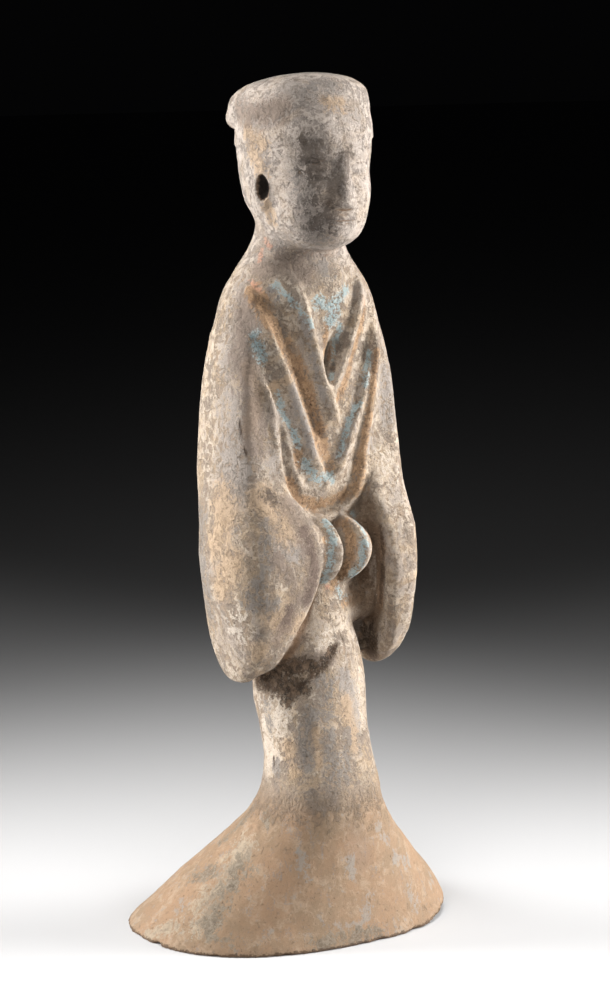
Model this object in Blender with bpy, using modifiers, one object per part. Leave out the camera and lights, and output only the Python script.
"""Standing attendant of moulded grey pottery, once painted, made for a tomb.

The figure is one hollow piece: a capped head, a robe with crossed lapels, hands joined inside
wide hanging sleeves, a narrow skirt and a flared hem that it stands on. It faces -Y.
"""

import math

import bmesh
import bpy
import numpy as np

# Driving sizes, in metres
HEIGHT = 0.400
HEM_WIDTH = 0.160
HEM_DEPTH = 0.120
WALL = 0.0075
HOLLOW_HEIGHT = 0.098

# The body is proportioned in parts, 400 of them to the height. Its axis is the middle of the
# narrow skirt, and the hem spreads further to the back than to the front.
PARTS_TALL = 400
PART = HEIGHT / PARTS_TALL
HEM_SET_BACK = 16
HEM_HALF_WIDTH = HEM_WIDTH / 2 / PART
HEM_HALF_DEPTH = HEM_DEPTH / 2 / PART

# The hem is modelled this much deeper, and then cut off flat
SPARE_FOOT = 20

# Squareness of each volume in plan, where 2 is an ellipse, and what a sleeve's opening edge adds
SKIRT_POWER = 2.1
HEM_POWER = 2.3
HEM_POWER_HEIGHT = 12
TORSO_POWER = 2.25
SLEEVE_POWER = 2.3
SKULL_POWER = 2.1
CRISPNESS = 3.0

# Fillets between the volumes. Low down, and inside the left sleeve, they are wider
WAIST_FILLET = 12
SLEEVE_FILLET = 3
RIGHT_FOOT_FILLET = 9
LEFT_FOOT_FILLET = 7
LEFT_INNER_FILLET = 15
ARM_FILLET = 2.5
NECK_FILLET = 4

# Mesh fineness
BLOCK_VOXEL = 5.5 * PART
SKIN_VOXEL = 2.1 * PART
TRIANGLES = 8300
HOLLOW_SIDES = 40
HOLLOW_RINGS = 16

SHARP_ANGLE = math.radians(70)
CLAY_COLOUR = (0.42, 0.33, 0.24, 1.0)
CLAY_ROUGHNESS = 0.9

# Stations of the lofted volumes: height, middle across, middle in depth, half width, half depth
SKIRT = (
    (-24, 0, HEM_SET_BACK, HEM_HALF_WIDTH, HEM_HALF_DEPTH),
    (0, 0, HEM_SET_BACK, HEM_HALF_WIDTH, HEM_HALF_DEPTH),
    (8, 0, 14, 74.6, 56.5),
    (16, 0.6, 11.5, 67.2, 53),
    (24, 1.6, 8.5, 60.9, 49),
    (32, 1.8, 5, 53.5, 44.5),
    (40, 1.8, 1, 46.2, 40),
    (48, 1, -3, 39.3, 35.5),
    (56, 0.5, -7, 33.3, 31.5),
    (64, 0, -9.5, 29.5, 28),
    (72, 0, -10.5, 27.5, 26),
    (84, 0, -9, 25.5, 24),
    (98, 0, -5, 25.5, 23.5),
    (112, 0, -1.5, 26.5, 24.5),
    (124, 0, -0.5, 26, 24),
    (136, 0, 1, 23.5, 23.5),
    (148, 0, 3, 20.5, 22.5),
    (160, 0, 4, 19.5, 22),
    (180, 0, 5.5, 19.5, 21.5),
)
TORSO = (
    (150, 0, 8, 38, 17),
    (170, 0, 9, 42, 18),
    (187, 0, 9, 43, 18.5),
    (198, 0, 8.5, 44, 21.5),
    (210, 0, 7, 44.5, 25),
    (232, 0, 8, 45, 26.5),
    (255, 0, 9.5, 44, 27.5),
    (274, 0, 10, 42, 27),
    (291, 0, 10, 39, 26),
    (302, 0, 10, 34.8, 24.5),
    (310, 0, 10, 29.5, 22.5),
    (318, 0, 9.5, 23.8, 20),
    (326, 0, 8.5, 20, 18.8),
    (340, 0, 7, 19.5, 18.5),
)
RIGHT_SLEEVE = (
    (120, -37, 2, 8, 17),
    (135, -34.8, 1.5, 10.5, 21),
    (146, -32.8, 1, 14.6, 23.5),
    (156, -31, 0.5, 18.6, 25),
    (167, -29.8, 0, 21.6, 26.5),
    (180, -29, 0.5, 23.5, 27),
    (192, -29.2, 1, 23, 26.8),
    (202, -31.8, 3, 19, 25.8),
    (212, -35.4, 5, 14.2, 24.5),
    (235, -37, 7.5, 10.5, 22),
    (260, -35.8, 9, 9, 20),
    (285, -32, 10, 8, 17),
)
LEFT_SLEEVE = (
    (120, 36.5, 2, 6.5, 17),
    (135, 39.5, 1.5, 7.2, 21),
    (146, 40.8, 1, 8, 23.5),
    (156, 40, 0.5, 9.7, 25),
    (167, 40, 0, 10.2, 26.5),
    (180, 39.4, 0.5, 10.9, 27),
    (192, 38, 1, 11.8, 26.8),
    (202, 36, 3, 12.8, 25.8),
    (212, 34.9, 5, 13, 24.5),
    (235, 36, 7.5, 10.5, 22),
    (260, 35.3, 9, 9, 20),
    (285, 32, 10, 8, 17),
)
SKULL = (
    (328, 0, 8, 19, 19),
    (340, 0, 6.5, 24.5, 25.5),
    (350, 0, 5, 27, 29.5),
    (360, 0, 4, 28.6, 32),
    (372, 0, 3.5, 29.3, 33),
    (384, 0, 4, 28, 31),
    (398, 0, 5, 27, 29),
)

# Lines carved across the front: points across and up, from the shoulder down
CHEST_EDGE = (
    (-37, 286), (-34, 268), (-30, 257), (-26, 235), (-24.5, 220), (-20, 207), (-12, 200),
    (-1, 197), (10, 200), (16, 209), (20, 228), (24, 245), (28, 262), (31, 286),
)
OUTER_LAPEL_RIGHT = ((-31, 293), (-27, 281), (-21, 267), (-16, 253), (-11, 239), (-7, 226), (-1, 216))
OUTER_LAPEL_LEFT = ((30, 287), (27, 270), (23.5, 262), (20, 250), (13.5, 238), (8, 225), (0, 214))
OUTER_HEM_RIGHT = ((-31, 263), (-28, 253), (-23, 243), (-20, 233), (-17, 220), (-12, 211))
INNER_LAPEL_RIGHT = ((-14, 306), (-12, 295), (-8, 282), (-4, 271), (-1, 261), (3, 250), (6, 240))
INNER_LAPEL_LEFT = ((21, 308), (19, 298), (15, 287), (11.5, 275), (6.5, 264), (2, 257))
LAPEL_FURROW = ((-33, 303), (-22, 290), (-14, 267), (-7, 246), (-2, 232))

# Depth of the chest panel, and height of the lapels' folds and the furrow between them
PANEL_DEPTH = 3.4
PANEL_LIP = 1.0
OUTER_LAPEL_RISE = 3.4
INNER_LAPEL_RISE = 3.0
OUTER_HEM_RISE = 1.2
FURROW_DEPTH = 1.8

# The gap where the inner lapels cross
NOTCH_MIDDLE = (3.5, 273)
NOTCH_RADII = (2.8, 8.5)
NOTCH_LEAN = 0.2
NOTCH_DEPTH = 4.2

# The joined forearms lie across the body, from the right sleeve into the left one. A cuff is its
# place across, how far its ring bows back at top and bottom, its swelling, and its reach to the
# right and to the left
ARMS_DEPTH = -8.5
ARMS_HEIGHT = 182
ARMS_RADIUS = 14
ARMS_STRETCH = 1.08
ARMS_BOW_RADIUS = 18
ARMS_RIGHT_END = -22
ARMS_PAST_CUFF = 5
ARMS_ROUNDING = 5
FIRST_CUFF = (1.5, 4, 3.4, 7, 1.8)
SECOND_CUFF = (16.3, 9, 4.0, 4.4, 4.4)

JAW_MIDDLE = (0, -6.5, 341.5)
JAW_RADII = (22.5, 21.5, 21.5)
JAW_POWER = 2.5
JAW_FILLET = 10

# The cap leans back by this much, and is a low crown with a roll behind
CAP_LEAN = 0.12
CAP_LEVEL_DEPTH = -14
CAP_CROWN_MIDDLE = (0, 8.3, 387.9)
CAP_CROWN_RADII = (29, 33.5, 13.8)
CAP_CROWN_POWER = 2.35
CAP_ROLL_MIDDLE = (0, 30, 383.8)
CAP_ROLL_RADII = (23, 13.2, 7.6)
CAP_ROLL_POWER = 2.1
CAP_FILLET = 7
CAP_EDGE_FILLET = 2.5

EAR_RIM_MIDDLE = (26, -2, 349.5)
EAR_RIM_RADII = (3.4, 5.5, 10.5)
EAR_FILLET = 4
EAR_HOLE_MIDDLE = (30.5, -5, 349)
EAR_HOLE_RADII = (6.5, 3.6, 8)

# The face is a plain calm one, set out by the usual rules: eyes half way up the skull, their
# width a fifth of the face's, the nose and mouth dividing what lies below
CHIN = 321
CROWN = 393
FACE_HEIGHT = CROWN - CHIN
FACE_HALF_WIDTH = 29
EYE_LINE = CHIN + FACE_HEIGHT / 2
EYE_WIDTH = 2 * FACE_HALF_WIDTH / 5
BROW_LINE = EYE_LINE + EYE_WIDTH / 2
NOSE_LINE = CHIN + 0.27 * FACE_HEIGHT
MOUTH_LINE = CHIN + 0.18 * FACE_HEIGHT


def read_stations(heights, rows):
    """Smooth values between the rows, one column each for middle, half width and half depth."""
    table = np.array(rows, float)
    knots = table[:, 0]
    slopes = np.gradient(table, knots, axis=0)
    low = np.clip(np.searchsorted(knots, heights) - 1, 0, len(knots) - 2)
    step = knots[low + 1] - knots[low]
    t = np.clip((heights - knots[low]) / step, 0, 1)[:, None]
    step = step[:, None]
    values = (
        (1 + 2 * t) * (1 - t) ** 2 * table[low]
        + t * (1 - t) ** 2 * step * slopes[low]
        + t * t * (3 - 2 * t) * table[low + 1]
        - t * t * (1 - t) * step * slopes[low + 1]
    )
    return values[:, 1:].T


def loft(points, rows, power, foot=None, head=None, crisp=0):
    """Distance to a lofted volume.

    foot and head are the height where an end starts to round, and its length. crisp is the
    side, -1 or 1, that has a crisp edge in place of a round one.
    """
    middle_x, middle_y, half_width, half_depth = read_stations(points[:, 2], rows)
    x = points[:, 0] - middle_x + 1e-6
    y = points[:, 1] - middle_y
    past = np.zeros(len(points))
    length = 1.0
    if foot:
        past = np.maximum(foot[0] - points[:, 2], 0)
        length = foot[1]
    if head:
        past_head = np.maximum(points[:, 2] - head[0], 0)
        past = np.where(past_head > 0, past_head * length / head[1], past)
    if crisp:
        edge = ease(0, 0.8, crisp * x / half_width)
        power = power + CRISPNESS * edge * (1 - ease(0.2, 0.9, past / length))
    ratio = (
        np.abs(x / half_width) ** power
        + np.abs(y / half_depth) ** power
        + np.abs(past / length) ** power
    ) ** (1 / power)
    reach = np.sqrt(x * x + y * y + past * past)
    return reach - reach / ratio


def blob(points, middle, radii, power=2.0):
    """Distance to an ellipsoid, squarer as the power grows."""
    scaled = np.abs((points - middle) / radii) + 1e-9
    ratio = (scaled**power).sum(axis=1) ** (1 / power)
    reach = np.linalg.norm(points - middle, axis=1) + 1e-9
    return reach - reach / ratio


def join(first, second, blend):
    """Union of two distances with a fillet."""
    overlap = np.maximum(blend - np.abs(first - second), 0) / blend
    return np.minimum(first, second) - overlap * overlap * blend / 4


def ease(low, high, values):
    """0 below low, 1 above high, smooth between."""
    t = np.clip((values - low) / (high - low), 0, 1)
    return t * t * (3 - 2 * t)


def beside_line(x, z, line):
    """Signed distance across a carved line, positive to the left of its run, and the share of it passed."""
    knots = np.array(line, float)
    rows = np.column_stack([np.arange(len(knots)), knots])
    fine = read_stations(np.linspace(0, len(knots) - 1, 4 * len(knots)), rows).T
    nearest = np.full(len(x), np.inf)
    side = np.zeros(len(x))
    share = np.zeros(len(x))
    for index in range(len(fine) - 1):
        (x0, z0), (x1, z1) = fine[index], fine[index + 1]
        run_x, run_z = x1 - x0, z1 - z0
        t = np.clip(((x - x0) * run_x + (z - z0) * run_z) / (run_x**2 + run_z**2), 0, 1)
        gap_x, gap_z = x - x0 - t * run_x, z - z0 - t * run_z
        gap = np.hypot(gap_x, gap_z)
        closer = gap < nearest
        nearest = np.where(closer, gap, nearest)
        side = np.where(closer, np.sign(run_x * gap_z - run_z * gap_x), side)
        share = np.where(closer, (index + t) / (len(fine) - 1), share)
    return side * nearest, share


def fold(x, z, line, height, inner, outer):
    """A pressed fold: a crest on the line, falling within inner to its left and outer to its right."""
    across, share = beside_line(x, z, line)
    width = np.where(across > 0, inner, outer)
    ends = ease(0, 0.12, share) * (1 - ease(0.88, 1, share))
    return height * np.exp(-((across / width) ** 2)) * (0.25 + 0.75 * ends)


def robe_relief(points):
    """Height of the chest panel and the lapels above the plain torso, on the front only."""
    x, y, z = points.T
    front = 1 - ease(-8, 2, y)
    near = (z > 190) & (z < 325)
    relief = np.zeros(len(points))
    x, z = x[near], z[near]
    inside, _ = beside_line(x, z, CHEST_EDGE)
    lip = np.exp(-(((inside + 1.5) / 3) ** 2))
    height = -PANEL_DEPTH * ease(0, 5, inside) * (1 - ease(266, 296, z))
    height += PANEL_LIP * lip * (1 - ease(262, 284, z))
    height += fold(x, z, OUTER_LAPEL_RIGHT, OUTER_LAPEL_RISE, 2.3, 6.0)
    height += fold(x, z, OUTER_LAPEL_LEFT, OUTER_LAPEL_RISE, 5.0, 2.3)
    height += fold(x, z, OUTER_HEM_RIGHT, OUTER_HEM_RISE, 2.0, 2.0)
    height += fold(x, z, INNER_LAPEL_RIGHT, INNER_LAPEL_RISE, 2.0, 4.5)
    height += fold(x, z, INNER_LAPEL_LEFT, INNER_LAPEL_RISE, 3.5, 1.8)
    height += fold(x, z, LAPEL_FURROW, -FURROW_DEPTH, 2.6, 2.6)
    above = z - NOTCH_MIDDLE[1]
    beside = x - NOTCH_MIDDLE[0] - NOTCH_LEAN * above
    notch = np.hypot(beside / NOTCH_RADII[0], above / NOTCH_RADII[1])
    height -= NOTCH_DEPTH * np.exp(-(notch**2))
    relief[near] = height
    return relief * front


def body(points):
    x, y, z = points.T
    squareness = SKIRT_POWER + (HEM_POWER - SKIRT_POWER) * (1 - ease(0, HEM_POWER_HEIGHT, z))
    skirt = loft(points, SKIRT, squareness, head=(170, 20))
    torso = loft(points, TORSO, TORSO_POWER, foot=(165, 18), head=(334, 12))
    form = join(skirt, torso, WAIST_FILLET)
    form -= robe_relief(points)
    right = loft(points, RIGHT_SLEEVE, SLEEVE_POWER, foot=(146, 25), head=(276, 16), crisp=1)
    left = loft(points, LEFT_SLEEVE, SLEEVE_POWER, foot=(146, 24), head=(276, 16), crisp=-1)
    beside_arms = ease(140, 154, z) * (1 - ease(192, 206, z))
    inside_left = (1 - ease(26, 34, x)) * (1 - ease(-4, 6, y)) * beside_arms
    low = 1 - ease(142, 160, z)
    form = join(form, right, SLEEVE_FILLET + RIGHT_FOOT_FILLET * low)
    wider = LEFT_FOOT_FILLET * low + LEFT_INNER_FILLET * inside_left
    form = join(form, left, SLEEVE_FILLET + wider)
    return join(form, hands(points), ARM_FILLET)


def cuff(x, bow, ring):
    """Place along the arms measured from a cuff's ring, and how far the cuff stands out there."""
    place, bowed, swelling, right_reach, left_reach = ring
    along = x - place + bowed * bow
    width = np.where(along > 0, left_reach, right_reach)
    return along, swelling * np.exp(-((along / width) ** 2))


def hands(points):
    """The joined forearms, with two cuffs round them that point into the left sleeve."""
    x, y, z = points.T
    bow = ((z - ARMS_HEIGHT) / ARMS_BOW_RADIUS) ** 2
    _, first_cuff = cuff(x, bow, FIRST_CUFF)
    past_second, second_cuff = cuff(x, bow, SECOND_CUFF)
    reach = np.hypot((y - ARMS_DEPTH) / ARMS_STRETCH, z - ARMS_HEIGHT)
    side = reach - ARMS_RADIUS - first_cuff - second_cuff
    ends = np.maximum(past_second - ARMS_PAST_CUFF, ARMS_RIGHT_END - x)
    return -join(-side, -ends, ARMS_ROUNDING)


def head(points):
    skull = loft(points, SKULL, SKULL_POWER, foot=(344, 21), head=(384, 12))
    jaw = blob(points, JAW_MIDDLE, JAW_RADII, JAW_POWER)
    form = join(skull, jaw, JAW_FILLET)
    return form - face_relief(points)


def bump(x, z, middle, width, height):
    """A soft round swelling on the face."""
    return np.exp(-(((x - middle[0]) / width) ** 2) - ((z - middle[1]) / height) ** 2)


def face_relief(points):
    """Height of the features above the plain head, on the front only."""
    x, y, z = points.T
    front = 1 - ease(-18, -8, y)
    side = np.abs(x)
    height = -2.2 * bump(side, z, (EYE_WIDTH, EYE_LINE), 7.5, 5)
    almond = 1 - ((side - EYE_WIDTH) / 6.8) ** 2 - ((z - EYE_LINE) / 3.6) ** 2
    height += 1.9 * ease(0, 0.8, almond)
    height += 1.0 * bump(side, z, (EYE_WIDTH, BROW_LINE + 1.2), 8.5, 2.2)
    drop = np.clip((BROW_LINE - z) / (BROW_LINE - NOSE_LINE), 0, 1)
    bridge = (1.2 + 4.4 * drop**1.3) * np.exp(-((x / (2.6 + 2.2 * drop)) ** 2))
    height += bridge * ease(NOSE_LINE - 2.5, NOSE_LINE + 1.5, z) * (1 - ease(BROW_LINE, BROW_LINE + 6, z))
    height += 1.6 * bump(side, z, (4.8, NOSE_LINE + 1.8), 2.2, 2.4)
    height += 1.4 * bump(x, z, (0, MOUTH_LINE), 9.5, 6.5)
    lips = 1 - ease(5, 9.5, side)
    height += 1.2 * np.exp(-(((z - MOUTH_LINE - 2.0) / 1.6) ** 2)) * lips
    height += 1.4 * np.exp(-(((z - MOUTH_LINE + 2.4) / 1.8) ** 2)) * lips
    height -= 0.6 * np.exp(-(((z - MOUTH_LINE) / 1.0) ** 2)) * lips
    height += 2.0 * bump(x, z, (0, CHIN + 6.5), 7.5, 4.2)
    height += 1.0 * bump(side, z, (14, EYE_LINE - 11), 8, 8)
    return height * front


def cap(points):
    """A soft cap that slopes down to a rolled edge behind."""
    x, y, z = points.T
    leaning = np.column_stack([x, y, z + CAP_LEAN * (y - CAP_LEVEL_DEPTH)])
    crown = blob(leaning, CAP_CROWN_MIDDLE, CAP_CROWN_RADII, CAP_CROWN_POWER)
    roll = blob(leaning, CAP_ROLL_MIDDLE, CAP_ROLL_RADII, CAP_ROLL_POWER)
    return join(crown, roll, CAP_FILLET)


def ears(points, form):
    """Adds a low raised rim on each side, where the ear hole is then cut."""
    across, deep, height = EAR_RIM_MIDDLE
    for side in (-1, 1):
        rim = blob(points, (side * across, deep, height), EAR_RIM_RADII)
        form = join(form, rim, EAR_FILLET)
    return form


def figure_form(points):
    """Distance from the figure's surface, in parts, less than 0 inside it."""
    capped = join(head(points), cap(points), CAP_EDGE_FILLET)
    form = join(body(points), ears(points, capped), NECK_FILLET)
    return np.maximum(form, -SPARE_FOOT - points[:, 2])


def onto_form(points, rounds):
    """Moves points straight to the surface, along the form's slope."""
    nudge = 0.05
    for _ in range(rounds):
        here = figure_form(points)
        slope = np.column_stack(
            [(figure_form(points + nudge * axis) - here) / nudge for axis in np.eye(3)]
        )
        steepness = np.maximum((slope**2).sum(axis=1), 0.3)
        move = -(here / steepness)[:, None] * slope
        length = np.linalg.norm(move, axis=1, keepdims=True)
        points = points + move * np.minimum(1, 4 / np.maximum(length, 1e-9))
    return points


def evened(points, edges, share):
    """Moves each point a share of the way to the middle of its neighbours."""
    total = np.zeros_like(points)
    count = np.zeros(len(points))
    for one, other in (edges.T, edges.T[::-1]):
        np.add.at(total, one, points[other])
        np.add.at(count, one, 1)
    return points + share * (total / count[:, None] - points)


def new_object(name, mesh, collection):
    made = bpy.data.objects.new(name, mesh)
    collection.objects.link(made)
    return made


def applied(source, collection):
    """A plain mesh object of what source's modifiers give, in its place and under its name."""
    graph = bpy.context.evaluated_depsgraph_get()
    mesh = bpy.data.meshes.new_from_object(source.evaluated_get(graph))
    name = source.name
    bpy.data.objects.remove(source)
    return new_object(name, mesh, collection)


def block_in(collection):
    """Plain balls and a cone where the masses lie."""
    shape = bmesh.new()
    masses = (
        ((0, 8, 250), (44, 26, 76)),
        ((0, 4, 190), (44, 24, 50)),
        ((0, 0, 130), (27, 24, 75)),
        ((0, 5, 358), (29, 31, 42)),
        ((0, 9, 386), (30, 36, 14)),
        ((-34, 1, 176), (20, 26, 54)),
        ((39, 1, 176), (13, 26, 54)),
        ((2, -10, 184), (19, 17, 16)),
        ((0, 8, 322), (20, 19, 30)),
    )
    for middle, radii in masses:
        ball = bmesh.ops.create_uvsphere(shape, u_segments=32, v_segments=20, radius=1)["verts"]
        bmesh.ops.scale(shape, verts=ball, vec=radii)
        bmesh.ops.translate(shape, verts=ball, vec=middle)
    foot, waist = -SPARE_FOOT - 3, 72
    cone = bmesh.ops.create_cone(
        shape, cap_ends=True, segments=64, radius1=1.05, radius2=0.34, depth=waist - foot
    )["verts"]
    bmesh.ops.scale(shape, verts=cone, vec=(HEM_HALF_WIDTH, HEM_HALF_DEPTH, 1))
    bmesh.ops.translate(shape, verts=cone, vec=(0, HEM_SET_BACK, (waist + foot) / 2))
    for vertex in cone:
        if vertex.co.z > 0:
            vertex.co.y -= 1.6 * HEM_SET_BACK
    bmesh.ops.scale(shape, verts=shape.verts, vec=(PART, PART, PART))
    mesh = bpy.data.meshes.new("figure")
    shape.to_mesh(mesh)
    shape.free()
    return new_object("figure", mesh, collection)


def remeshed(source, voxel, collection):
    remesh = source.modifiers.new("one skin", "REMESH")
    remesh.mode = "VOXEL"
    remesh.voxel_size = voxel
    return applied(source, collection)


def shape_skin(skin, rounds):
    """Draws the skin onto the form, evening it out along the way."""
    mesh = skin.data
    points = np.empty(len(mesh.vertices) * 3, np.float32)
    mesh.vertices.foreach_get("co", points)
    edges = np.empty(len(mesh.edges) * 2, np.int32)
    mesh.edges.foreach_get("vertices", edges)
    edges = edges.reshape(-1, 2)
    points = points.reshape(-1, 3).astype(float) / PART
    for _ in range(rounds):
        points = evened(points, edges, 0.5)
        points = onto_form(points, 2)
    mesh.vertices.foreach_set("co", (points * PART).astype(np.float32).ravel())
    mesh.update()


def make_hollow(cutters):
    """The space under the hem and up the skirt: the skirt's own loft, drawn in by the wall."""
    shape = bmesh.new()
    top = HOLLOW_HEIGHT / PART
    heights = [-4.0] + [top * math.sin(math.pi / 2 * step / HOLLOW_RINGS) for step in range(HOLLOW_RINGS)]
    rise = 0.5
    rings = []
    for height in heights:
        _, middle, half_width, half_depth = read_stations(np.array([height]), SKIRT)[:, 0]
        above = read_stations(np.array([height + rise]), SKIRT)[:, 0]
        thickness = WALL / PART
        wall_x = thickness * math.hypot(1, (above[2] - half_width) / rise)
        wall_y = thickness * math.hypot(1, (above[3] - half_depth) / rise)
        dome = math.sqrt(max(0, 1 - (max(height, 0) / top) ** 6))
        ring = []
        for side in range(HOLLOW_SIDES):
            turn = 2 * math.pi * side / HOLLOW_SIDES
            across = (half_width - wall_x) * dome * math.cos(turn)
            deep = middle + (half_depth - wall_y) * dome * math.sin(turn)
            ring.append(shape.verts.new((across * PART, deep * PART, height * PART)))
        rings.append(ring)
    for lower, upper in zip(rings, rings[1:]):
        for side in range(HOLLOW_SIDES):
            after = (side + 1) % HOLLOW_SIDES
            shape.faces.new((lower[side], lower[after], upper[after], upper[side]))
    shape.faces.new(rings[0][::-1])
    shape.faces.new(rings[-1])
    mesh = bpy.data.meshes.new("hollow")
    shape.to_mesh(mesh)
    shape.free()
    return as_cutter(new_object("hollow", mesh, cutters))


def make_ground(cutters):
    """A slab up to the ground, which cuts the foot of the hem flat."""
    shape = bmesh.new()
    slab = bmesh.ops.create_cube(shape, size=1)["verts"]
    depth = 2 * SPARE_FOOT * PART
    bmesh.ops.scale(shape, verts=slab, vec=(3 * HEM_WIDTH, 3 * HEM_WIDTH, depth))
    bmesh.ops.translate(shape, verts=slab, vec=(0, 0, -depth / 2))
    mesh = bpy.data.meshes.new("ground")
    shape.to_mesh(mesh)
    shape.free()
    return as_cutter(new_object("ground", mesh, cutters))


def make_ear_hole(cutters, side):
    """An almond-shaped ball that sinks the hole of one ear."""
    shape = bmesh.new()
    ball = bmesh.ops.create_uvsphere(shape, u_segments=16, v_segments=12, radius=1)["verts"]
    bmesh.ops.scale(shape, verts=ball, vec=[radius * PART for radius in EAR_HOLE_RADII])
    across, deep, height = EAR_HOLE_MIDDLE
    bmesh.ops.translate(shape, verts=ball, vec=(side * across * PART, deep * PART, height * PART))
    name = "ear hole left" if side > 0 else "ear hole right"
    mesh = bpy.data.meshes.new(name)
    shape.to_mesh(mesh)
    shape.free()
    return as_cutter(new_object(name, mesh, cutters))


def as_cutter(made):
    made.hide_render = True
    made.display_type = "WIRE"
    return made


def clay():
    material = bpy.data.materials.new("painted clay")
    material.use_nodes = True
    shader = material.node_tree.nodes["Principled BSDF"]
    shader.inputs["Base Color"].default_value = CLAY_COLOUR
    shader.inputs["Roughness"].default_value = CLAY_ROUGHNESS
    shader.inputs["Metallic"].default_value = 0.0
    return material


def stand_on_origin(figure):
    """Puts the middle of the figure's box over the origin."""
    points = np.array([vertex.co for vertex in figure.data.vertices])
    middle = (points.min(axis=0) + points.max(axis=0)) / 2
    for vertex in figure.data.vertices:
        vertex.co.x -= middle[0]
        vertex.co.y -= middle[1]


def make_figure(parts, cutters):
    figure = remeshed(block_in(parts), BLOCK_VOXEL, parts)
    shape_skin(figure, 6)
    figure = remeshed(figure, SKIN_VOXEL, parts)
    shape_skin(figure, 3)
    thin = figure.modifiers.new("fewer faces", "DECIMATE")
    thin.ratio = TRIANGLES / (2 * len(figure.data.polygons))
    figure = applied(figure, parts)
    ear_holes = [make_ear_hole(cutters, side) for side in (-1, 1)]
    for cutter in (make_ground(cutters), make_hollow(cutters), *ear_holes):
        opening = figure.modifiers.new(cutter.name, "BOOLEAN")
        opening.operation = "DIFFERENCE"
        opening.object = cutter
    figure = applied(figure, parts)
    stand_on_origin(figure)
    figure.data.materials.clear()
    figure.data.materials.append(clay())
    figure.data.shade_smooth()
    figure.data.set_sharp_from_angle(angle=SHARP_ANGLE)
    return figure


def main():
    for leftover in list(bpy.data.objects):
        bpy.data.objects.remove(leftover)
    parts = bpy.data.collections.new("Painted tomb figure")
    cutters = bpy.data.collections.new("Cutters")
    for collection in (parts, cutters):
        bpy.context.scene.collection.children.link(collection)
    make_figure(parts, cutters)


main()
